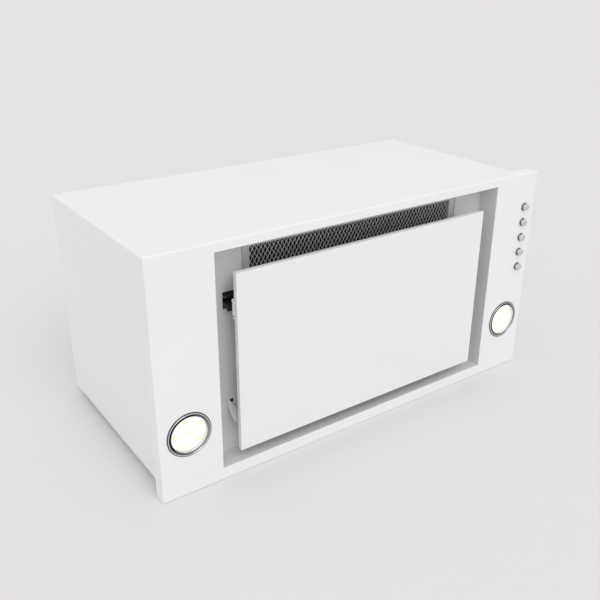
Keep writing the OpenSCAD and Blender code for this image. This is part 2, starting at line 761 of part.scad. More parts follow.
// A half disc with knuckles at the heights in zs, on the left of the axle
module flap(zs) color("#4a4c50") translate([0, flap_y, 0]) difference() {
    union() {
        intersection() {
            rod_y(flap_r, -flap_t / 2, flap_t / 2);
            slab(-duct_r, -knuckle_r - 0.4, -5, 5, -duct_r, duct_r);
        }
        for (z = zs) {
            translate([0, 0, z]) cylinder(r = knuckle_r, h = knuckle_l);
            slab(-knuckle_r - past, -axle_r, -flap_t / 2, flap_t / 2, z, z + knuckle_l);
        }
    }
    translate([0, 0, -duct_r]) cylinder(r = axle_r + running, h = 2 * duct_r);
}
module flap_left() flap([-50, -8, 34]);
module flap_right() mirror([1, 0, 0]) flap([-29, 13]);

// ---- electrics ----

module terminal_box() color(black) difference() {
    slab(box_x[0], box_x[1], box_y, -cover_t - sheet, box_z[0], box_z[1]);
    slab(box_x[0] + box_wall, box_x[1] - box_wall, box_y - past, -cover_t - sheet - box_wall,
        box_z[0] + box_wall, box_z[1] - box_wall);
    translate([gland_x, 0, gland_z]) rod_y(gland_r + 0.2, -10, past);
}

module terminal_lid() color(black) slab(box_x[0], box_x[1], box_y - 2, box_y, box_z[0], box_z[1]);

module cable_gland() color(black) translate([gland_x, 0, gland_z]) difference() {
    union() {
        rod_y(gland_r, -12, 4);
        rod_y(nut_r, 0, 5);
        rod_y(neck_r, 4, 14);
    }
    rod_y(cord_r, -12 - past, 14 + past);
}

module capacitor() color("#d8d2c4") translate(cap_place) cylinder(r = cap_r, h = cap_h);

module led_driver() color("white") slab(150, 230, -30, -cover_t, -50, -15);

module wiring() color("#e6e6e6") for (v = leads) tube(rounded(v, lead_bend), lead_r);

housing_shell();
back_cover();
face_frame();
recess_tray();
cover_screws();
panel_skin();
panel_back();
panel_bumpers();
hinge_lugs();
hinge_pins();
hinge_arm_left();
hinge_arm_right();
hinge_screws();
catch_left();
catch_right();
strike_left();
strike_right();
strike_screws();
filter_frame();
filter_mesh();
filter_handle();
lamp_ring_left();
lamp_ring_right();
lamp_lens_left();
lamp_lens_right();
led_board_left();
led_board_right();
lamp_can_left();
lamp_can_right();
lamp_clips();
button_1();
button_2();
button_3();
button_4();
button_5();
button_bezels();
button_springs();
switch_block();
blower_half_left();
blower_half_right();
blower_screws();
impeller();
motor_case();
motor_stator();
motor_rotor();
motor_shaft();
motor_bearings();
motor_bracket();
motor_bushes();
duct_flange();
duct_collar();
flap_left();
flap_right();
flap_axle();
terminal_box();
terminal_lid();
cable_gland();
capacitor();
led_driver();
wiring();
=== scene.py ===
import json
import math
import bpy
import bmesh
from mathutils import Matrix, Vector


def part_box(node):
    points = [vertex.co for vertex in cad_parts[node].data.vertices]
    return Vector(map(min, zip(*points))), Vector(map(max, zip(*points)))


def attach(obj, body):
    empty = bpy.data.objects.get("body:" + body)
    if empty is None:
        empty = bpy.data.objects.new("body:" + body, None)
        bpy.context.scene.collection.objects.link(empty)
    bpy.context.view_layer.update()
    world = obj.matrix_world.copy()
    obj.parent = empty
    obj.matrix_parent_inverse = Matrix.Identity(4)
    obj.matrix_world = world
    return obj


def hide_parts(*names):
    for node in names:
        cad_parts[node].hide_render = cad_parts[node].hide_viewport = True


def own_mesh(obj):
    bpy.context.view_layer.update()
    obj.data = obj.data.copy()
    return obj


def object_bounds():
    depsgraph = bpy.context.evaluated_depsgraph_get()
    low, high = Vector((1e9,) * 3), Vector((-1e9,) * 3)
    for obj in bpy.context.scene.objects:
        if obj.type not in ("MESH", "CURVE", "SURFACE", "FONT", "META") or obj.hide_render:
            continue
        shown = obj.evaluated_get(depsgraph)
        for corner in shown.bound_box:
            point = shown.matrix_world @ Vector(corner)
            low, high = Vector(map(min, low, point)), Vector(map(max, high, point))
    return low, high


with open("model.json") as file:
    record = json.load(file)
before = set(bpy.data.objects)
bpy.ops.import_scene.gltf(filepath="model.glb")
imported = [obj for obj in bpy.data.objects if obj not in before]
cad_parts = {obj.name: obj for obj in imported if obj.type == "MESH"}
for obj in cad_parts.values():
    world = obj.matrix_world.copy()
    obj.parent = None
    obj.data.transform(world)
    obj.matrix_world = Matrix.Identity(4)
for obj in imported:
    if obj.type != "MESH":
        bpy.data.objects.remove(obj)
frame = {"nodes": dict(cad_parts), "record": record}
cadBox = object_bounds()
nodes = frame["nodes"]
slotOf = {part["node"]: part["material_slot"] for part in frame["record"]["subparts"]}
bodyOf = {node: body for body, group in frame["record"]["behaviour"]["bodies"].items() for node in group}
mm = 0.001
print("frame loaded:", len(nodes), "nodes")


# ---- camera, light and floor ----

view = {
    "place": (-0.56514, -0.93573, 0.41203),
    "right": (0.81954, -0.57301, 0.00171),
    "up": (0.22996, 0.33163, 0.91496),
    "lens": 44.59,
    "shift": (0.0076, -0.0124),
}
studio = {
    "skyColour": (0.797, 0.784, 0.788),
    "skyStrength": 1.0,
    "sunFrom": (-0.2, -0.671, 0.717),
    "sunStrength": 0.93,
    "sunAngle": 50,
    "floorSize": 60,
    "floorColour": (0.78, 0.767, 0.771),
}


def setUpCamera():
    camera = bpy.data.objects.new("camera", bpy.data.cameras.new("camera"))
    bpy.context.scene.collection.objects.link(camera)
    right, up = Vector(view["right"]), Vector(view["up"])
    turn = Matrix((right, up, right.cross(up))).transposed().to_4x4()
    camera.matrix_world = Matrix.Translation(view["place"]) @ turn
    camera.data.lens = view["lens"]
    camera.data.sensor_width = 36
    camera.data.shift_x, camera.data.shift_y = view["shift"]
    camera.data.clip_end = 100
    bpy.context.scene.camera = camera


def setUpLight():
    world = bpy.data.worlds.new("studio")
    world.use_nodes = True
    sky = world.node_tree.nodes["Background"]
    sky.inputs["Color"].default_value = (*studio["skyColour"], 1)
    sky.inputs["Strength"].default_value = studio["skyStrength"]
    bpy.context.scene.world = world
    sun = bpy.data.objects.new("softbox", bpy.data.lights.new("softbox", "SUN"))
    sun.data.energy = studio["sunStrength"]
    sun.data.angle = math.radians(studio["sunAngle"])
    sun.rotation_euler = Vector(studio["sunFrom"]).to_track_quat("Z", "Y").to_euler()
    bpy.context.scene.collection.objects.link(sun)
    bpy.context.scene.view_settings.view_transform = "Standard"


def setUpFloor():
    deselectAll()
    low = cadBox[0]
    bpy.ops.mesh.primitive_plane_add(size=studio["floorSize"], location=(0, 0, low.z))
    floor = bpy.context.object
    floor.name = "floor"
    settle(floor)
    paint = bpy.data.materials.new("floorPaint")
    paint.use_nodes = True
    shader = paint.node_tree.nodes["Principled BSDF"]
    shader.inputs["Base Color"].default_value = (*studio["floorColour"], 1)
    shader.inputs["Roughness"].default_value = 0.9
    shader.inputs["Specular IOR Level"].default_value = 0.1
    floor.data.materials.append(paint)


# ---- handling ----

def deselectAll():
    if bpy.context.object and bpy.context.object.mode != "OBJECT":
        bpy.ops.object.mode_set(mode="OBJECT")
    bpy.ops.object.select_all(action="DESELECT")


def useOnly(obj):
    deselectAll()
    obj.select_set(True)
    bpy.context.view_layer.objects.active = obj


def settle(obj):  # the object's place goes into its mesh
    useOnly(obj)
    bpy.ops.object.transform_apply(location=True, rotation=True, scale=True)


def named(obj, name):
    obj.name = name
    obj.data.name = name
    return obj


def addBlock(name, low, high):
    deselectAll()
    middle = [(a + b) / 2 for a, b in zip(low, high)]
    bpy.ops.mesh.primitive_cube_add(size=1, location=middle)
    block = named(bpy.context.object, name)
    block.scale = [b - a for a, b in zip(low, high)]
    settle(block)
    return block


def addRod(name, centre, radius, depth, axis, corners):  # centre is the rod's middle
    deselectAll()
    turn = {"X": (0, math.pi / 2, 0), "Y": (math.pi / 2, 0, 0)}[axis]
    bpy.ops.mesh.primitive_cylinder_add(
        vertices=corners, radius=radius, depth=depth, location=centre, rotation=turn)
    rod = named(bpy.context.object, name)
    settle(rod)
    return rod


def editFaces(obj, wanted):  # opens edit mode with the faces selected where wanted(centre, normal)
    useOnly(obj)
    bpy.ops.object.mode_set(mode="EDIT")
    bpy.ops.mesh.select_mode(type="FACE")
    bpy.ops.mesh.select_all(action="DESELECT")
    mesh = bmesh.from_edit_mesh(obj.data)
    for face in mesh.faces:
        face.select_set(bool(wanted(face.calc_center_median(), face.normal)))
    bmesh.update_edit_mesh(obj.data)


def editEdges(obj, wanted):  # the same for edges, where wanted(one end, the other end)
    useOnly(obj)
    bpy.ops.object.mode_set(mode="EDIT")
    bpy.ops.mesh.select_mode(type="EDGE")
    bpy.ops.mesh.select_all(action="DESELECT")
    mesh = bmesh.from_edit_mesh(obj.data)
    for edge in mesh.edges:
        edge.select_set(bool(wanted(edge.verts[0].co, edge.verts[1].co)))
    bmesh.update_edit_mesh(obj.data)


def closeEdit():
    bpy.ops.object.mode_set(mode="OBJECT")


def cutOff(obj, at, direction, outer=True):  # removes one side of a plane and closes the cut
    useOnly(obj)
    bpy.ops.object.mode_set(mode="EDIT")
    bpy.ops.mesh.select_all(action="SELECT")
    bpy.ops.mesh.bisect(
        plane_co=at, plane_no=direction, clear_outer=outer, clear_inner=not outer, use_fill=True)
    closeEdit()


def roundEdges(obj, wanted, width, segments):
    editEdges(obj, wanted)
    bpy.ops.mesh.bevel(offset=width, segments=segments, affect="EDGES", clamp_overlap=True)
    closeEdit()


def easeCorners(obj, width):  # a small round on every sharp edge
    useOnly(obj)
    bevel = obj.modifiers.new("ease", "BEVEL")
    bevel.width = width
    bevel.segments = 2
    bevel.limit_method = "ANGLE"
    bevel.angle_limit = math.radians(40)
    bpy.ops.object.modifier_apply(modifier=bevel.name)


def cleanCopy(node, name):  # a merged copy of a CAD node, ready to be rounded
    deselectAll()
    copy = nodes[node].copy()
    copy.data = nodes[node].data.copy()
    for key in list(copy.keys()):
        del copy[key]
    copy.parent = None
    bpy.context.scene.collection.objects.link(copy)
    named(copy, name)
    useOnly(copy)
    bpy.ops.mesh.customdata_custom_splitnormals_clear()
    bpy.ops.object.mode_set(mode="EDIT")
    bpy.ops.mesh.select_all(action="SELECT")
    bpy.ops.mesh.remove_doubles(threshold=0.002 * mm)
    bpy.ops.mesh.dissolve_limited(angle_limit=math.radians(0.5))
    closeEdit()
    return copy


def spinOutline(name, outline, centre, steps):
    # outline holds (radius, y) points round a ring's section; centre is a point on its axis
    deselectAll()
    bpy.ops.mesh.primitive_circle_add(vertices=len(outline), radius=mm, location=(0, 0, 0))
    ring = named(bpy.context.object, name)
    for vertex, (radius, y) in zip(ring.data.vertices, outline):
        vertex.co = (centre[0] + radius, y, centre[2])
    bpy.ops.object.mode_set(mode="EDIT")
    bpy.ops.mesh.select_all(action="SELECT")
    bpy.ops.mesh.spin(steps=steps, angle=2 * math.pi, center=centre, axis=(0, 1, 0))
    bpy.ops.mesh.select_all(action="SELECT")
    bpy.ops.mesh.remove_doubles(threshold=0.002 * mm)
    bpy.ops.mesh.normals_make_consistent(inside=False)
    closeEdit()
    return ring


def axisOf(node):  # a point on the axis of a round node that lies along Y
    low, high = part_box(node)
    return ((low.x + high.x) / 2, 0, (low.z + high.z) / 2)


def near(a, b):
    return abs(a - b) < 0.02 * mm


def joinAll(name, parts):
    deselectAll()
    for part in parts:
        part.select_set(True)
    bpy.context.view_layer.objects.active = parts[0]
    bpy.ops.object.join()
    return named(bpy.context.object, name)


def copyTo(source, name, shift):
    copy = source.copy()
    copy.data = source.data.copy()
    copy.data.transform(Matrix.Translation(shift))
    bpy.context.scene.collection.objects.link(copy)
    return named(copy, name)


def arcPoints(centreRadius, centreY, size, start, end, count):  # an arc in a ring's section
    angles = [math.radians(start + (end - start) * i / (count - 1)) for i in range(count)]
    return [(centreRadius + size * math.cos(a), centreY + size * math.sin(a)) for a in angles]


def place(obj, body, slot, replaced=(), material=None, smooth=35, flatFaces=True):
    useOnly(obj)
    bpy.ops.object.shade_smooth_by_angle(angle=math.radians(smooth))
    if flatFaces:  # the large flat faces keep their own shading beside a round edge
        weighted = obj.modifiers.new("weighted", "WEIGHTED_NORMAL")
        weighted.keep_sharp = True
        weighted.weight = 100
        bpy.ops.object.modifier_apply(modifier=weighted.name)
    obj.data.materials.clear()
    obj.data.materials.append(material or finishes[slot])
    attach(obj, body)
    for node in replaced:
        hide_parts(node)


# ---- materials ----

def startMaterial(name, colour, roughness, metallic=0.0):
    made = bpy.data.materials.new(name)
    made.use_nodes = True
    shader = made.node_tree.nodes["Principled BSDF"]
    shader.inputs["Base Color"].default_value = (*colour, 1)
    shader.inputs["Roughness"].default_value = roughness
    shader.inputs["Metallic"].default_value = metallic
    return made, made.node_tree, shader


def addNoise(tree, stretch, detail=3):  # noise on the piece's own coordinates, in grains per metre
    where = tree.nodes.new("ShaderNodeTexCoord")
    mapping = tree.nodes.new("ShaderNodeMapping")
    mapping.inputs["Scale"].default_value = stretch
    noise = tree.nodes.new("ShaderNodeTexNoise")
    noise.inputs["Scale"].default_value = 1
    noise.inputs["Detail"].default_value = detail
    tree.links.new(where.outputs["Object"], mapping.inputs["Vector"])
    tree.links.new(mapping.outputs["Vector"], noise.inputs["Vector"])
    return noise


def varyColour(tree, shader, noise, dark, light):
    ramp = tree.nodes.new("ShaderNodeValToRGB")
    ramp.color_ramp.elements[0].position = 0.3
    ramp.color_ramp.elements[1].position = 0.7
    ramp.color_ramp.elements[0].color = (*dark, 1)
    ramp.color_ramp.elements[1].color = (*light, 1)
    tree.links.new(noise.outputs["Fac"], ramp.inputs["Fac"])
    tree.links.new(ramp.outputs["Color"], shader.inputs["Base Color"])


def varyRoughness(tree, shader, noise, low, high):
    spread = tree.nodes.new("ShaderNodeMapRange")
    spread.inputs["To Min"].default_value = low
    spread.inputs["To Max"].default_value = high
    tree.links.new(noise.outputs["Fac"], spread.inputs["Value"])
    tree.links.new(spread.outputs["Result"], shader.inputs["Roughness"])


def addBump(tree, shader, noise, depth, strength=1.0):
    bump = tree.nodes.new("ShaderNodeBump")
    bump.inputs["Distance"].default_value = depth
    bump.inputs["Strength"].default_value = strength
    tree.links.new(noise.outputs["Fac"], bump.inputs["Height"])
    tree.links.new(bump.outputs["Normal"], shader.inputs["Normal"])


def shade(colour, factor):
    return tuple(min(1, c * factor) for c in colour)


def paintedSheet(name, colour):  # baked enamel with a faint orange peel
    made, tree, shader = startMaterial(name, colour, 0.34)
    varyColour(tree, shader, addNoise(tree, (9, 9, 9), 2), shade(colour, 0.985), colour)
    varyRoughness(tree, shader, addNoise(tree, (60, 60, 60)), 0.30, 0.40)
    addBump(tree, shader, addNoise(tree, (420, 420, 420), 1), 0.012 * mm, 0.35)
    shader.inputs["Specular IOR Level"].default_value = 0.45
    shader.inputs["Coat Weight"].default_value = 0.08
    shader.inputs["Coat Roughness"].default_value = 0.15
    return made


def brushedMetal(name, colour, roughness, stretch, depth=0.01, metallic=1.0):
    made, tree, shader = startMaterial(name, colour, roughness, metallic)
    grain = addNoise(tree, stretch)
    varyColour(tree, shader, grain, shade(colour, 0.86), shade(colour, 1.06))
    varyRoughness(tree, shader, grain, roughness * 0.8, roughness * 1.25)
    addBump(tree, shader, grain, depth * mm, 0.5)
    return made


def mouldedPlastic(name, colour, roughness, grainSize=1.0, depth=0.02):
    made, tree, shader = startMaterial(name, colour, roughness)
    scale = 1 / (grainSize * mm)
    varyColour(tree, shader, addNoise(tree, (25, 25, 25), 2), shade(colour, 0.85), shade(colour, 1.12))
    grain = addNoise(tree, (scale, scale, scale), 2)
    varyRoughness(tree, shader, grain, roughness - 0.06, roughness + 0.08)
    addBump(tree, shader, grain, depth * mm, 0.5)
    return made


lampLight = {
    "glow": (1.0, 1.0, 0.97),
    "spot": (0.965, 0.975, 0.60),
    "strength": 0.98,
    "spotRadius": 5.2 * mm,
    "ringRadius": 16.5 * mm,
    "firstAngle": 103,
    "count": 5,
}


def litDiffuser(name, centre):  # an opal lens that the emitters shine through
    made, tree, shader = startMaterial(name, (0.06, 0.06, 0.05), 0.3)
    where = tree.nodes.new("ShaderNodeTexCoord")
    spots = [Vector(centre)]
    for i in range(lampLight["count"]):
        angle = math.radians(lampLight["firstAngle"] + i * 360 / lampLight["count"])
        outward = Vector((math.cos(angle), 0, math.sin(angle)))
        spots.append(Vector(centre) + lampLight["ringRadius"] * outward)
    nearest = None
    for spot in spots:
        gap = tree.nodes.new("ShaderNodeVectorMath")
        gap.operation = "DISTANCE"
        gap.inputs[1].default_value = spot
        tree.links.new(where.outputs["Object"], gap.inputs[0])
        if nearest is None:
            nearest = gap.outputs["Value"]
            continue
        least = tree.nodes.new("ShaderNodeMath")
        least.operation = "MINIMUM"
        tree.links.new(nearest, least.inputs[0])
        tree.links.new(gap.outputs["Value"], least.inputs[1])
        nearest = least.outputs["Value"]
    fade = tree.nodes.new("ShaderNodeMapRange")
    fade.interpolation_type = "SMOOTHSTEP"
    fade.inputs["From Min"].default_value = lampLight["spotRadius"] * 0.25
    fade.inputs["From Max"].default_value = lampLight["spotRadius"]
    fade.inputs["To Min"].default_value = 1
    fade.inputs["To Max"].default_value = 0
    tree.links.new(nearest, fade.inputs["Value"])
    tint = tree.nodes.new("ShaderNodeMix")
    tint.data_type = "RGBA"
    tint.inputs["A"].default_value = (*lampLight["glow"], 1)
    tint.inputs["B"].default_value = (*lampLight["spot"], 1)
    tree.links.new(fade.outputs["Result"], tint.inputs["Factor"])
    tree.links.new(tint.outputs["Result"], shader.inputs["Emission Color"])
    shader.inputs["Emission Strength"].default_value = lampLight["strength"]
    return made


finishes = {
    "white_enamel": paintedSheet("whiteEnamel", (0.860, 0.878, 0.890)),
    "zinc_steel": brushedMetal("zincPlate", (0.66, 0.68, 0.70), 0.38, (150, 150, 150)),
    "spring_steel": brushedMetal("springSteel", (0.52, 0.53, 0.54), 0.33, (300, 60, 60)),
    "aluminium_frame": brushedMetal(
        "rolledAluminium", (0.62, 0.63, 0.64), 0.42, (30, 600, 900), metallic=0.35),
    "expanded_mesh": brushedMetal(
        "expandedAluminium", (1.0, 1.0, 1.0), 0.35, (200, 200, 200), metallic=0.3),
    "lamp_chrome": brushedMetal("lampChrome", (0.86, 0.86, 0.87), 0.10, (80, 80, 80), 0.002),
    "lamp_diffuser": litDiffuser("lampGlow", (0, 0, 0)),
    "circuit_board": mouldedPlastic("circuitBoard", (0.88, 0.89, 0.84), 0.45),
    "button_metal": brushedMetal("buttonMetal", (0.74, 0.74, 0.75), 0.30, (900, 900, 900), 0.02),
    "bezel_metal": brushedMetal("bezelMetal", (0.17, 0.17, 0.18), 0.30, (700, 700, 700), 0.01),
    "black_plastic": mouldedPlastic("blackPlastic", (0.022, 0.022, 0.024), 0.38, 0.5),
    "grey_plastic": mouldedPlastic("greyPlastic", (0.055, 0.058, 0.062), 0.46, 0.8, 0.03),
    "pale_plastic": mouldedPlastic("palePlastic", (0.74, 0.72, 0.66), 0.42),
    "copper_winding": brushedMetal("copperWinding", (0.72, 0.38, 0.18), 0.35, (900, 60, 60), 0.1),
    "bronze": brushedMetal("sinteredBronze", (0.62, 0.44, 0.22), 0.5, (500, 500, 500), 0.03),
    "lamination": brushedMetal("laminations", (0.28, 0.28, 0.29), 0.5, (1500, 20, 20), 0.08),
    "ground_steel": brushedMetal("groundSteel", (0.70, 0.71, 0.72), 0.25, (700, 700, 40), 0.01),
    "black_rubber": mouldedPlastic("blackRubber", (0.020, 0.020, 0.020), 0.72, 0.6, 0.04),
    "lead_sheath": mouldedPlastic("leadSheath", (0.78, 0.78, 0.77), 0.50, 1.5),
}
panelPaint = paintedSheet("panelPaint", (0.848, 0.857, 0.856))
recessShadePaint = paintedSheet("recessShadePaint", (0.70, 0.705, 0.715))  # darker enamel inside the recess: painted shade
# a whiter paint than the enamel: painted light on the strike brackets
strikeLitPaint = paintedSheet("strikeLitPaint", (0.97, 0.97, 0.97))
paleRubber = mouldedPlastic("paleRubber", (0.62, 0.62, 0.63), 0.5)
# the rear mesh layer is near black: painted shade deep in the filter
innerMeshShade = brushedMetal("innerMeshShade", (0.13, 0.13, 0.135), 0.45, (200, 200, 200), metallic=0.5)
for nodeName, node in nodes.items():
    node.data.materials.clear()
    node.data.materials.append(finishes[slotOf[nodeName]])
print("materials made:", len(finishes))

setUpCamera()
setUpLight()
setUpFloor()
print("camera, light and floor set")


# ---- sheet metal ----

sheetMetal = {
    "shellRound": 1.4 * mm,
    "faceRound": 1.8 * mm,
    "openingRound": 0.8 * mm,
    "panelRound": 0.9 * mm,
    "recessRound": 0.4 * mm,
    "trayWall": 1 * mm,
    "panelTaper": 1.1 * mm,
    "backBand": 1.5 * mm,  # what lies this close to a fold's back leans in with it
}


def makeShell():
    low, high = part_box("housing_shell")
    shell = cleanCopy("housing_shell", "bodyShell")

    def isCorner(a, b):
        atSide = [near(abs(p.x), high.x) and near(abs(p.z), high.z) for p in (a, b)]
        return all(atSide) and not near(a.y, b.y)
    roundEdges(shell, isCorner, sheetMetal["shellRound"], 4)
    place(shell, "hood", "white_enamel", ["housing_shell"])


def outerEdges(low, high):  # tests for a folded sheet's rim, and for its front and corner edges
    def onRim(p):
        return near(abs(p.x), high.x) or near(p.z, low.z) or near(p.z, high.z)

    def isCorner(p):
        return near(abs(p.x), high.x) and (near(p.z, low.z) or near(p.z, high.z))

    def isOuter(a, b):
        if near(a.y, low.y) and near(b.y, low.y):
            return onRim(a) and onRim(b) and (near(a.x, b.x) or near(a.z, b.z))
        return isCorner(a) and isCorner(b) and not near(a.y, b.y)
    return onRim, isOuter


def makeFace():
    low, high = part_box("face_frame")
    trayLow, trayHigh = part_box("recess_tray")
    wall = sheetMetal["trayWall"]
    openLow = (trayLow.x + wall, trayLow.z + wall)
    openHigh = (trayHigh.x - wall, trayHigh.z - wall)
    face = cleanCopy("face_frame", "facePlate")
    onRim, isOuter = outerEdges(low, high)

    def isOpening(a, b):
        for p in (a, b):
            if not near(p.y, low.y) or onRim(p):
                return False
        if near(a.x, b.x) and (near(a.x, openLow[0]) or near(a.x, openHigh[0])):
            return True
        return near(a.z, b.z) and (near(a.z, openLow[1]) or near(a.z, openHigh[1]))
    roundEdges(face, isOuter, sheetMetal["faceRound"], 5)
    roundEdges(face, isOpening, sheetMetal["openingRound"], 3)
    place(face, "hood", "white_enamel", ["face_frame"])


def narrowBack(obj, back, inward):  # the folded edge leans in towards its back
    low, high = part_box("panel_skin")
    middle, size = (low + high) / 2, high - low
    useOnly(obj)
    for vertex in obj.data.vertices:
        vertex.select = vertex.co.y > back - sheetMetal["backBand"]
    bpy.ops.object.mode_set(mode="EDIT")
    bpy.ops.mesh.select_mode(type="VERT")
    bpy.ops.transform.resize(
        value=(1 - 2 * inward / size.x, 1, 1 - 2 * inward / size.z), center_override=middle)
    closeEdit()


def makePanel():
    low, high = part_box("panel_skin")
    skin = cleanCopy("panel_skin", "panelSkin")
    onRim, isOuter = outerEdges(low, high)
    narrowBack(skin, high.y, sheetMetal["panelTaper"])
    roundEdges(skin, isOuter, sheetMetal["panelRound"], 5)
    place(skin, "panel", "white_enamel", ["panel_skin"], panelPaint)


# pieces copied from the frame and eased, with each round in mm
eased = {
    "back_cover": 0.4, "panel_back": 0.4, "hinge_arm_left": 0.5, "hinge_arm_right": 0.5,
    "hinge_lugs": 0.3, "catch_left": 0.3, "catch_right": 0.3,
    "filter_frame": 0.5, "filter_handle": 0.3, "cable_gland": 0.5, "duct_flange": 0.4,
    "terminal_box": 0.5, "switch_block": 0.4, "panel_bumpers": 0.5, "flap_left": 0.25,
    "flap_right": 0.25, "lamp_can_left": 0.5, "lamp_can_right": 0.5, "motor_case": 1.0,
}
# the hinge arms in the recess take its painted shade, the bumpers a pale rubber
coats = {"hinge_arm_left": recessShadePaint, "hinge_arm_right": recessShadePaint, "panel_bumpers": paleRubber}
filterFrame = {"share": 0.9975, "barTrim": 1.8 * mm}  # its width as a share, so that it clears its seat


def fitFilterFrame(frameCopy):
    bpy.ops.object.mode_set(mode="EDIT")
    bpy.ops.mesh.select_all(action="SELECT")
    bpy.ops.transform.resize(value=(filterFrame["share"], 1, 1), center_override=(0, 0, 0))
    closeEdit()
    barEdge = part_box("filter_mesh")[1].x * filterFrame["share"]
    for vertex in frameCopy.data.vertices:  # the side bars are a little narrower
        if near(abs(vertex.co.x), barEdge):
            vertex.co.x += math.copysign(filterFrame["barTrim"], vertex.co.x)


def makeEasedCopies():
    for node, width in eased.items():
        words = node.split("_")
        name = words[0] + "".join(word.capitalize() for word in words[1:]) + "Eased"
        copy = cleanCopy(node, name)
        if node == "filter_frame":
            fitFilterFrame(copy)
        if node == "panel_back":
            narrowBack(copy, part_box(node)[1].y, sheetMetal["panelTaper"])
        easeCorners(copy, width * mm)
        place(copy, bodyOf[node], slotOf[node], [node], coats.get(node))


def makeRecess():
    tray = cleanCopy("recess_tray", "recessTray")
    easeCorners(tray, sheetMetal["recessRound"])
    # the tray is darkened: painted shade in the recess
    place(tray, "hood", "white_enamel", ["recess_tray"], recessShadePaint)


strike = {
    "round": 0.2 * mm,
    "fold": 5 * mm,  # where the bracket ends and the tongue begins, from the panel
    "sunk": 0.6 * mm,
    "rivetDrop": 1.7 * mm,
    "holeShadowRise": 3 * mm,
    "rivet": {"radius": 1.5 * mm, "proud": 0.7 * mm, "edge": 0.3 * mm, "forward": 3.3 * mm},
    "plug": {"radius": 1.3 * mm, "proud": 0.1 * mm, "edge": 0.05 * mm, "forward": 2.4 * mm},
}


def makeStrikes():  # white bracket in a whiter paint as painted light, black tongue, a bright rivet over a black disc painted as the shadow in the bracket's hole
    for side, outward in (("left", -1), ("right", 1)):
        node = "strike_" + side
        label = side.capitalize()
        low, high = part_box(node)
        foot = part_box("panel_skin")[1].y
        bracket = cleanCopy(node, "strikeBracket" + label)
        tongue = cleanCopy(node, "strikeTongue" + label)
        for half, outer in ((bracket, True), (tongue, False)):
            cutOff(half, (0, foot + strike["fold"], 0), (0, 1, 0), outer)
            easeCorners(half, strike["round"])
        place(bracket, "panel", "white_enamel", [node], strikeLitPaint)
        place(tongue, "panel", "black_plastic")
        # the rivet is chrome; the flush black disc below it is painted shadow for the bracket's hole
        webX = low.x if side == "left" else high.x
        for name, pin, z, slot in (
                ("strikeRivet", strike["rivet"], high.z - strike["rivetDrop"], "lamp_chrome"),
                ("strikeHoleShadow", strike["plug"], low.z + strike["holeShadowRise"], "black_plastic")):
            middle = webX + outward * (pin["proud"] - strike["sunk"]) / 2
            rod = addRod(name + label, (middle, foot + pin["forward"], z),
                         pin["radius"], pin["proud"] + strike["sunk"], "X", 20)
            easeCorners(rod, pin["edge"])
            place(rod, "panel", slot)


makeShell()
makeFace()
makePanel()
makeRecess()
makeStrikes()
makeEasedCopies()
print("sheet metal rounded")


# ---- grease filter ----

filterMesh = {
    "cell": (5.8 * mm, 9.6 * mm),
    "lean": 0.14,
    "layers": (  # depth, strand width, shift in cells
        (0.9 * mm, 0.38 * mm, 0.0),
        (2.6 * mm, 0.30 * mm, 0.5),
    ),
    "rise": 0.25,  # how far up the shifted layer sits, in cells
    "thickness": 0.3 * mm,
    "core": 4.3 * mm,
    "creaseSize": 6 * mm,
    "creaseDepth": 1.2 * mm,
}


def makeFilterMesh():
    low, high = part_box("filter_mesh")
    low.x -= filterFrame["barTrim"]
    high.x += filterFrame["barTrim"]
    wide, tall = filterMesh["cell"]
    columns = int((high.x - low.x) / wide)
    rows = int((high.z - low.z) / tall)
    wide = (high.x - low.x) / columns
    tall = (high.z - low.z) / rows
    for number, (depth, strand, shift) in enumerate(filterMesh["layers"]):
        deselectAll()
        bpy.ops.mesh.primitive_circle_add(vertices=4, radius=1, fill_type="NGON", location=(0, 0, 0))
        cell = named(bpy.context.object, "filterMesh" + str(number + 1))
        cell.rotation_euler = (math.pi / 2, 0, 0)
        cell.scale = (wide / 2, tall / 2, 1)
        settle(cell)
        bpy.ops.object.mode_set(mode="EDIT")
        bpy.ops.mesh.select_mode(type="FACE")
        bpy.ops.mesh.select_all(action="SELECT")
        bpy.ops.mesh.inset(thickness=strand, use_boundary=True)
        bpy.ops.mesh.delete(type="FACE")
        closeEdit()
        lean = filterMesh["lean"] * (1 - 2 * shift)
        for vertex in cell.data.vertices:  # the strands lean, as the sheet is slit and drawn
            vertex.co.y += vertex.co.z * lean
        thick = cell.modifiers.new("thick", "SOLIDIFY")
        thick.thickness = filterMesh["thickness"]
        bpy.ops.object.modifier_apply(modifier=thick.name)
        cell.data.transform(Matrix.Translation((low.x + wide / 2, low.y + depth, low.z + tall / 2)))
        for count, step in ((columns, (wide, 0, 0)), (rows, (0, 0, tall))):
            array = cell.modifiers.new("array", "ARRAY")
            array.use_relative_offset = False
            array.use_constant_offset = True
            array.constant_offset_displace = step
            array.count = count
            bpy.ops.object.modifier_apply(modifier=array.name)
        if shift:
            cell.data.transform(Matrix.Translation((wide * shift, 0, tall * filterMesh["rise"])))
            for direction in ((1, 0, 0), (0, 0, 1)):
                cutOff(cell, high, direction)
        # the rear layer takes the painted shade
        place(cell, "filter", "expanded_mesh", [] if number else ["filter_mesh"],
              innerMeshShade if number else None, smooth=20, flatFaces=False)
    place(makeCore(low, high), "filter", "expanded_mesh", material=coreShadeFinish(), smooth=20, flatFaces=False)


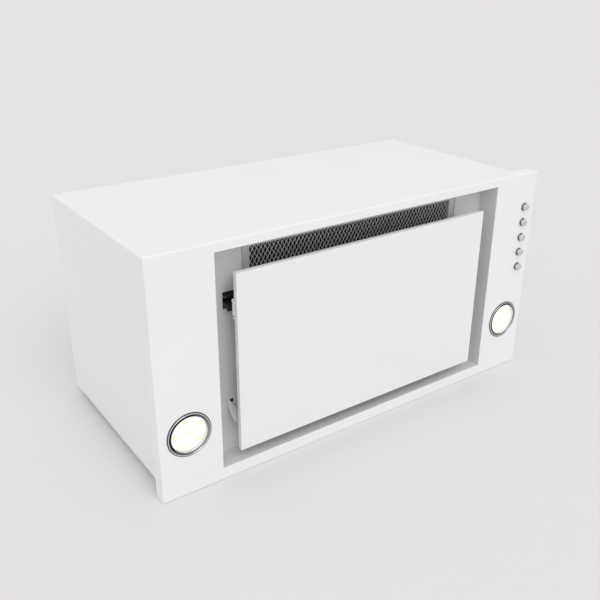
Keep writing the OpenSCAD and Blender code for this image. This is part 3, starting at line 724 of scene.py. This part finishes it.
def makeCore(low, high):  # the inner layers, crushed together, as a near-black sheet: painted shade behind the strands
    deselectAll()
    bpy.ops.mesh.primitive_grid_add(x_subdivisions=120, y_subdivisions=90, size=1)
    core = named(bpy.context.object, "filterCore")
    core.rotation_euler = (math.pi / 2, 0, 0)
    core.scale = (high.x - low.x, high.z - low.z, 1)
    core.location = ((low.x + high.x) / 2, low.y + filterMesh["core"], (low.z + high.z) / 2)
    settle(core)
    crease = bpy.data.textures.new("crease", "CLOUDS")
    crease.noise_scale = filterMesh["creaseSize"]
    push = core.modifiers.new("push", "DISPLACE")
    push.texture = crease
    push.texture_coords = "LOCAL"
    push.strength = filterMesh["creaseDepth"]
    bpy.ops.object.modifier_apply(modifier=push.name)
    thick = core.modifiers.new("thick", "SOLIDIFY")
    thick.thickness = filterMesh["thickness"]
    bpy.ops.object.modifier_apply(modifier=thick.name)
    return core


def coreShadeFinish():
    # near black with a faint grain: painted shade in the filter's depth
    made, tree, shader = startMaterial("crushedCoreShade", (0.01, 0.01, 0.01), 0.8)
    grain = addNoise(tree, (260, 260, 260), 4)
    varyColour(tree, shader, grain, (0.002, 0.002, 0.002), (0.016, 0.016, 0.017))
    addBump(tree, shader, grain, 0.3 * mm)
    return made


makeFilterMesh()
print("filter meshed")


# ---- lamps ----

lamp = {
    # the black ring stands for the shadowed gap between ring and face: painted shadow
    "gapShadow": (28.0 * mm, 26.7 * mm, 0.5 * mm),  # outer radius, inner radius, height
    "beadOuter": 26.9 * mm,
    "bead": 0.6 * mm,
    "grooveIn": 25.7 * mm,
    "bore": 22.9 * mm,
    "lipTop": 1.1 * mm,
    "lipBack": 0.75 * mm,
    "sleeve": (24.0 * mm, 25.4 * mm),
    "lensRadius": 23.9 * mm,
    "lensSteps": ((2.2 * mm, 0.05 * mm), (6 * mm, 0.10 * mm), (8 * mm, 0.06 * mm)),
    "disc": (22.6 * mm, 0.9 * mm, 3.2 * mm),  # radius, thickness, depth behind the lens's front
}


def makeLampRing(side, centre):  # black rubber ring as painted shadow in the gap round the lamp ring, bright bead with its sleeve, reflector lip with a painted reflection
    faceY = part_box("face_frame")[0].y
    low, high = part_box("lamp_ring_" + side)
    label = side.capitalize()
    outer, inner, tall = lamp["gapShadow"]
    gapShadowLine = [(outer, faceY), (outer, faceY - tall), (inner, faceY - tall), (inner, faceY)]
    gapShadow = spinOutline("lampGapShadow" + label, gapShadowLine, centre, 96)
    place(gapShadow, "hood", "black_rubber", smooth=30)
    bead, (sleeveIn, sleeveOut) = lamp["bead"], lamp["sleeve"]
    outline = [(lamp["beadOuter"], faceY)]
    outline += arcPoints(lamp["beadOuter"] - bead, low.y + bead, bead, 0, -180, 9)
    outline += [(lamp["grooveIn"], faceY), (sleeveOut, faceY)]
    outline += [(sleeveOut, high.y), (sleeveIn, high.y)]
    outline += [(sleeveIn, faceY + 4 * mm), (lamp["beadOuter"] - 2 * bead, faceY + 0.5 * mm)]
    ring = spinOutline("lampRing" + label, outline, centre, 96)
    place(ring, "hood", "lamp_chrome", ["lamp_ring_" + side], smooth=30)
    groove, bore, lipBack = lamp["grooveIn"], lamp["bore"], faceY - lamp["lipBack"]
    lipLine = [
        (groove, faceY - 0.1 * mm),
        (groove - 0.2 * mm, faceY - 0.6 * mm),
        (bore + 0.9 * mm, faceY - lamp["lipTop"]),
        (bore, lipBack - 0.1 * mm),
        (bore, lipBack + 0.2 * mm),
        (groove - 0.3 * mm, faceY - 0.05 * mm),
    ]
    lip = spinOutline("lampReflector" + label, lipLine, centre, 96)
    # the lip carries a painted reflection
    place(lip, "hood", "lamp_chrome", material=paintedReflectionFinish(label, centre), smooth=30)


def makeLampLens(side, centre):  # a clear stepped cover over a lit disc
    low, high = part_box("lamp_lens_" + side)
    label = side.capitalize()
    lens = addRod("lampLens" + label, (centre[0], (low.y + high.y) / 2, centre[2]),
                  lamp["lensRadius"], high.y - low.y, "Y", 96)

    def isMiddle(at, normal):
        return normal.y < -0.99 and (Vector((at.x, 0, at.z)) - Vector(centre)).length < 1 * mm
    for inset, lift in lamp["lensSteps"]:
        editFaces(lens, isMiddle)
        bpy.ops.mesh.inset(thickness=inset)
        bpy.ops.transform.translate(value=(0, -lift, 0))
        closeEdit()
    place(lens, "hood", "lamp_diffuser", ["lamp_lens_" + side], clearCover)
    size, thick, deep = lamp["disc"]
    front = low.y + deep
    disc = addRod("lampDisc" + label, (centre[0], front + thick / 2, centre[2]), size, thick, "Y", 64)
    easeCorners(disc, 0.2 * mm)
    glow = litDiffuser("lampGlow" + label, (centre[0], front, centre[2]))
    place(disc, "hood", "lamp_diffuser", material=glow)


def makeLamps():
    for side in ("left", "right"):
        centre = axisOf("lamp_ring_" + side)
        makeLampRing(side, centre)
        makeLampLens(side, centre)


def coverFinish():  # clear moulded cover: mostly seen through, with a soft sheen
    made, tree, shader = startMaterial("lampCover", (0.97, 0.97, 0.95), 0.12)
    haze = addNoise(tree, (300, 300, 300), 1)
    varyRoughness(tree, shader, haze, 0.08, 0.16)
    shader.inputs["Alpha"].default_value = 0.12
    return made


clearCover = coverFinish()


paintedReflection = {
    "towards": (0.8, 0, -0.6),
    "darkUpTo": -12 * mm,
    "paleFrom": 27 * mm,
    "dark": (0.004, 0.004, 0.005),
    "pale": (0.36, 0.36, 0.37),
}


def paintedReflectionFinish(label, centre):  # painted reflection: dark towards the top left, paler towards the bottom right
    made, tree, shader = startMaterial("paintedReflection" + label, (0.1, 0.1, 0.1), 0.25, 0.7)
    where = tree.nodes.new("ShaderNodeTexCoord")
    across = tree.nodes.new("ShaderNodeVectorMath")
    across.operation = "DOT_PRODUCT"
    across.inputs[1].default_value = paintedReflection["towards"]
    ramp = tree.nodes.new("ShaderNodeMapRange")
    middle = Vector(paintedReflection["towards"]).dot(Vector(centre))
    ramp.inputs["From Min"].default_value = middle + paintedReflection["darkUpTo"]
    ramp.inputs["From Max"].default_value = middle + paintedReflection["paleFrom"]
    colours = tree.nodes.new("ShaderNodeValToRGB")
    colours.color_ramp.elements[0].color = (*paintedReflection["dark"], 1)
    colours.color_ramp.elements[1].color = (*paintedReflection["pale"], 1)
    tree.links.new(where.outputs["Object"], across.inputs[0])
    tree.links.new(across.outputs["Value"], ramp.inputs["Value"])
    tree.links.new(ramp.outputs["Result"], colours.inputs["Fac"])
    tree.links.new(colours.outputs["Color"], shader.inputs["Base Color"])
    return made


makeLamps()
print("lamps made")


# ---- buttons ----

button = {
    "cap": 4.4 * mm,
    "edge": 0.7 * mm,
    "dish": 0.25 * mm,
    "stem": 2 * mm,
    "capBack": 5 * mm,  # depths behind the face
    "neckBack": 4 * mm,
    "base": 5.7 * mm,
    "baseBore": 4.5 * mm,
    "baseTall": 1.5 * mm,
    "neckWall": 0.4 * mm,
}


def makeButtons():
    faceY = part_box("face_frame")[0].y
    cap, edge, dish, stem = (button[part] for part in ("cap", "edge", "dish", "stem"))
    base, bore, tall, wall = (button[part] for part in ("base", "baseBore", "baseTall", "neckWall"))
    capBack, neckBack = faceY + button["capBack"], faceY + button["neckBack"]
    bezels = []
    for number in range(1, 6):
        nodeName = "button_" + str(number)
        low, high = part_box(nodeName)
        centre = axisOf(nodeName)
        outline = [(0.0, low.y + dish), (cap * 0.45, low.y + dish * 0.7)]
        outline += arcPoints(cap - edge, low.y + edge, edge, -90, 0, 6)
        outline += [(cap, capBack), (stem, capBack), (stem, high.y), (0.0, high.y)]
        knob = spinOutline("buttonCap" + str(number), outline, centre, 48)
        place(knob, nodeName, "button_metal", [nodeName], smooth=30)
        rim = [
            (base, faceY),
            (base, faceY - 0.6 * mm),
            (base - 0.5 * mm, faceY - tall + 0.15 * mm),
            (base - 0.8 * mm, faceY - tall),
            (bore + 0.1 * mm, faceY - tall),
            (bore, faceY - tall + 0.15 * mm),
            (bore, neckBack),
            (bore + wall, neckBack),
            (bore + wall, faceY),
        ]
        bezels.append(spinOutline("bezel" + str(number), rim, centre, 48))
    place(joinAll("buttonBezels", bezels), "hood", "bezel_metal", ["button_bezels"], smooth=30)


spring = {"node": "button_springs", "pressed": 0.48}  # share of its length left when pressed home


def makeSprings():  # the coils, split apart and named from the top down
    coils = cleanCopy(spring["node"], "buttonSpring")
    useOnly(coils)
    bpy.ops.object.mode_set(mode="EDIT")
    bpy.ops.mesh.select_all(action="SELECT")
    bpy.ops.mesh.separate(type="LOOSE")
    closeEdit()

    def height(obj):
        return sum(vertex.co.z for vertex in obj.data.vertices) / len(obj.data.vertices)
    coils = sorted(bpy.context.selected_objects, key=height, reverse=True)
    for number, coil in enumerate(coils, 1):
        named(coil, "buttonSpring" + str(number))
        replaced = [] if number > 1 else [spring["node"]]
        place(coil, "hood", slotOf[spring["node"]], replaced, smooth=80, flatFaces=False)
        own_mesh(coil)


makeButtons()
makeSprings()
print("buttons made")


# ---- back: screws and duct collar ----

screw = {
    "head": 3.2 * mm,
    "tall": 1.9 * mm,
    "edge": 0.7 * mm,
    "shank": 1.5 * mm,
    "crossLong": 3.6 * mm,
    "crossWide": 0.8 * mm,
    "crossDeep": 1.0 * mm,
}


def piecesOf(node):  # low and high corner of each separate solid of a CAD node
    mesh = bmesh.new()
    mesh.from_mesh(nodes[node].data)
    bmesh.ops.remove_doubles(mesh, verts=mesh.verts, dist=0.002 * mm)
    left = set(mesh.verts)
    boxes = []
    while left:
        queue = [left.pop()]
        found = []
        while queue:
            vertex = queue.pop()
            found.append(vertex.co.copy())
            for edge in vertex.link_edges:
                other = edge.other_vert(vertex)
                if other in left:
                    left.remove(other)
                    queue.append(other)
        boxes.append((Vector(min(p[i] for p in found) for i in range(3)),
                      Vector(max(p[i] for p in found) for i in range(3))))
    mesh.free()
    return sorted(boxes, key=lambda box: tuple(round(v, 5) for v in box[0]))


def makeCoverScrews():
    boxes = piecesOf("cover_screws")
    spots = [Vector(((low.x + high.x) / 2, 0, (low.z + high.z) / 2)) for low, high in boxes]
    first, tall = spots[0], screw["tall"]
    head = addRod("screwHead", (first.x, tall / 2, first.z), screw["head"], tall, "Y", 32)
    roundEdges(head, lambda a, b: near(a.y, b.y) and near(a.y, tall), screw["edge"], 4)
    arms = (screw["crossLong"], screw["crossWide"])
    for wide, high in (arms, arms[::-1]):
        cutter = addBlock("cross", (first.x - wide / 2, tall - screw["crossDeep"], first.z - high / 2),
                          (first.x + wide / 2, tall + 1 * mm, first.z + high / 2))
        cut = head.modifiers.new("cross", "BOOLEAN")
        cut.object = cutter
        cut.operation = "DIFFERENCE"
        useOnly(head)
        bpy.ops.object.modifier_apply(modifier=cut.name)
        useOnly(cutter)
        bpy.ops.object.delete()
    tip = boxes[0][0].y
    shank = addRod("screwShank", (first.x, tip / 2, first.z), screw["shank"], -tip, "Y", 16)
    model = joinAll("coverScrew", [head, shank])
    screws = [model] + [copyTo(model, "coverScrewCopy", spot - first) for spot in spots[1:]]
    place(joinAll("coverScrews", screws), "hood", "zinc_steel", ["cover_screws"], smooth=30)


collar = {
    "wall": 2 * mm,
    "round": 0.8 * mm,
    "rootEdge": 0.3 * mm,
    "fillet": 0.6 * mm,
    "grooves": (14 * mm, 26 * mm),
    "grooveWide": 1.6 * mm,
    "grooveDeep": 0.5 * mm,
}


def makeCollar():
    low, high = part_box("duct_collar")
    root = high.x
    mount = next(m for m in frame["record"]["mounts"] if m["name"] == "duct_collar")
    outer = mount["dims"]["r_mm"] * mm
    inner = outer - collar["wall"]
    edge, fillet = collar["rootEdge"], collar["fillet"]
    outline = [(root, low.y), (root, -edge), (root - edge, 0), (outer + fillet, 0), (outer, fillet)]
    half, deep = collar["grooveWide"] / 2, collar["grooveDeep"]
    for at in collar["grooves"]:
        outline += [(outer, at - half), (outer - deep, at - half + deep)]
        outline += [(outer - deep, at + half - deep), (outer, at + half)]
    size = collar["round"]
    outline += arcPoints(outer - size, high.y - size, size, 0, 90, 5)
    outline += arcPoints(inner + size, high.y - size, size, 90, 180, 5)
    outline += [(inner, low.y)]
    ring = spinOutline("ductCollar", outline, (0, 0, 0), 128)
    place(ring, "hood", "grey_plastic", ["duct_collar"], smooth=30)


makeCoverScrews()
makeCollar()
print("back finished")
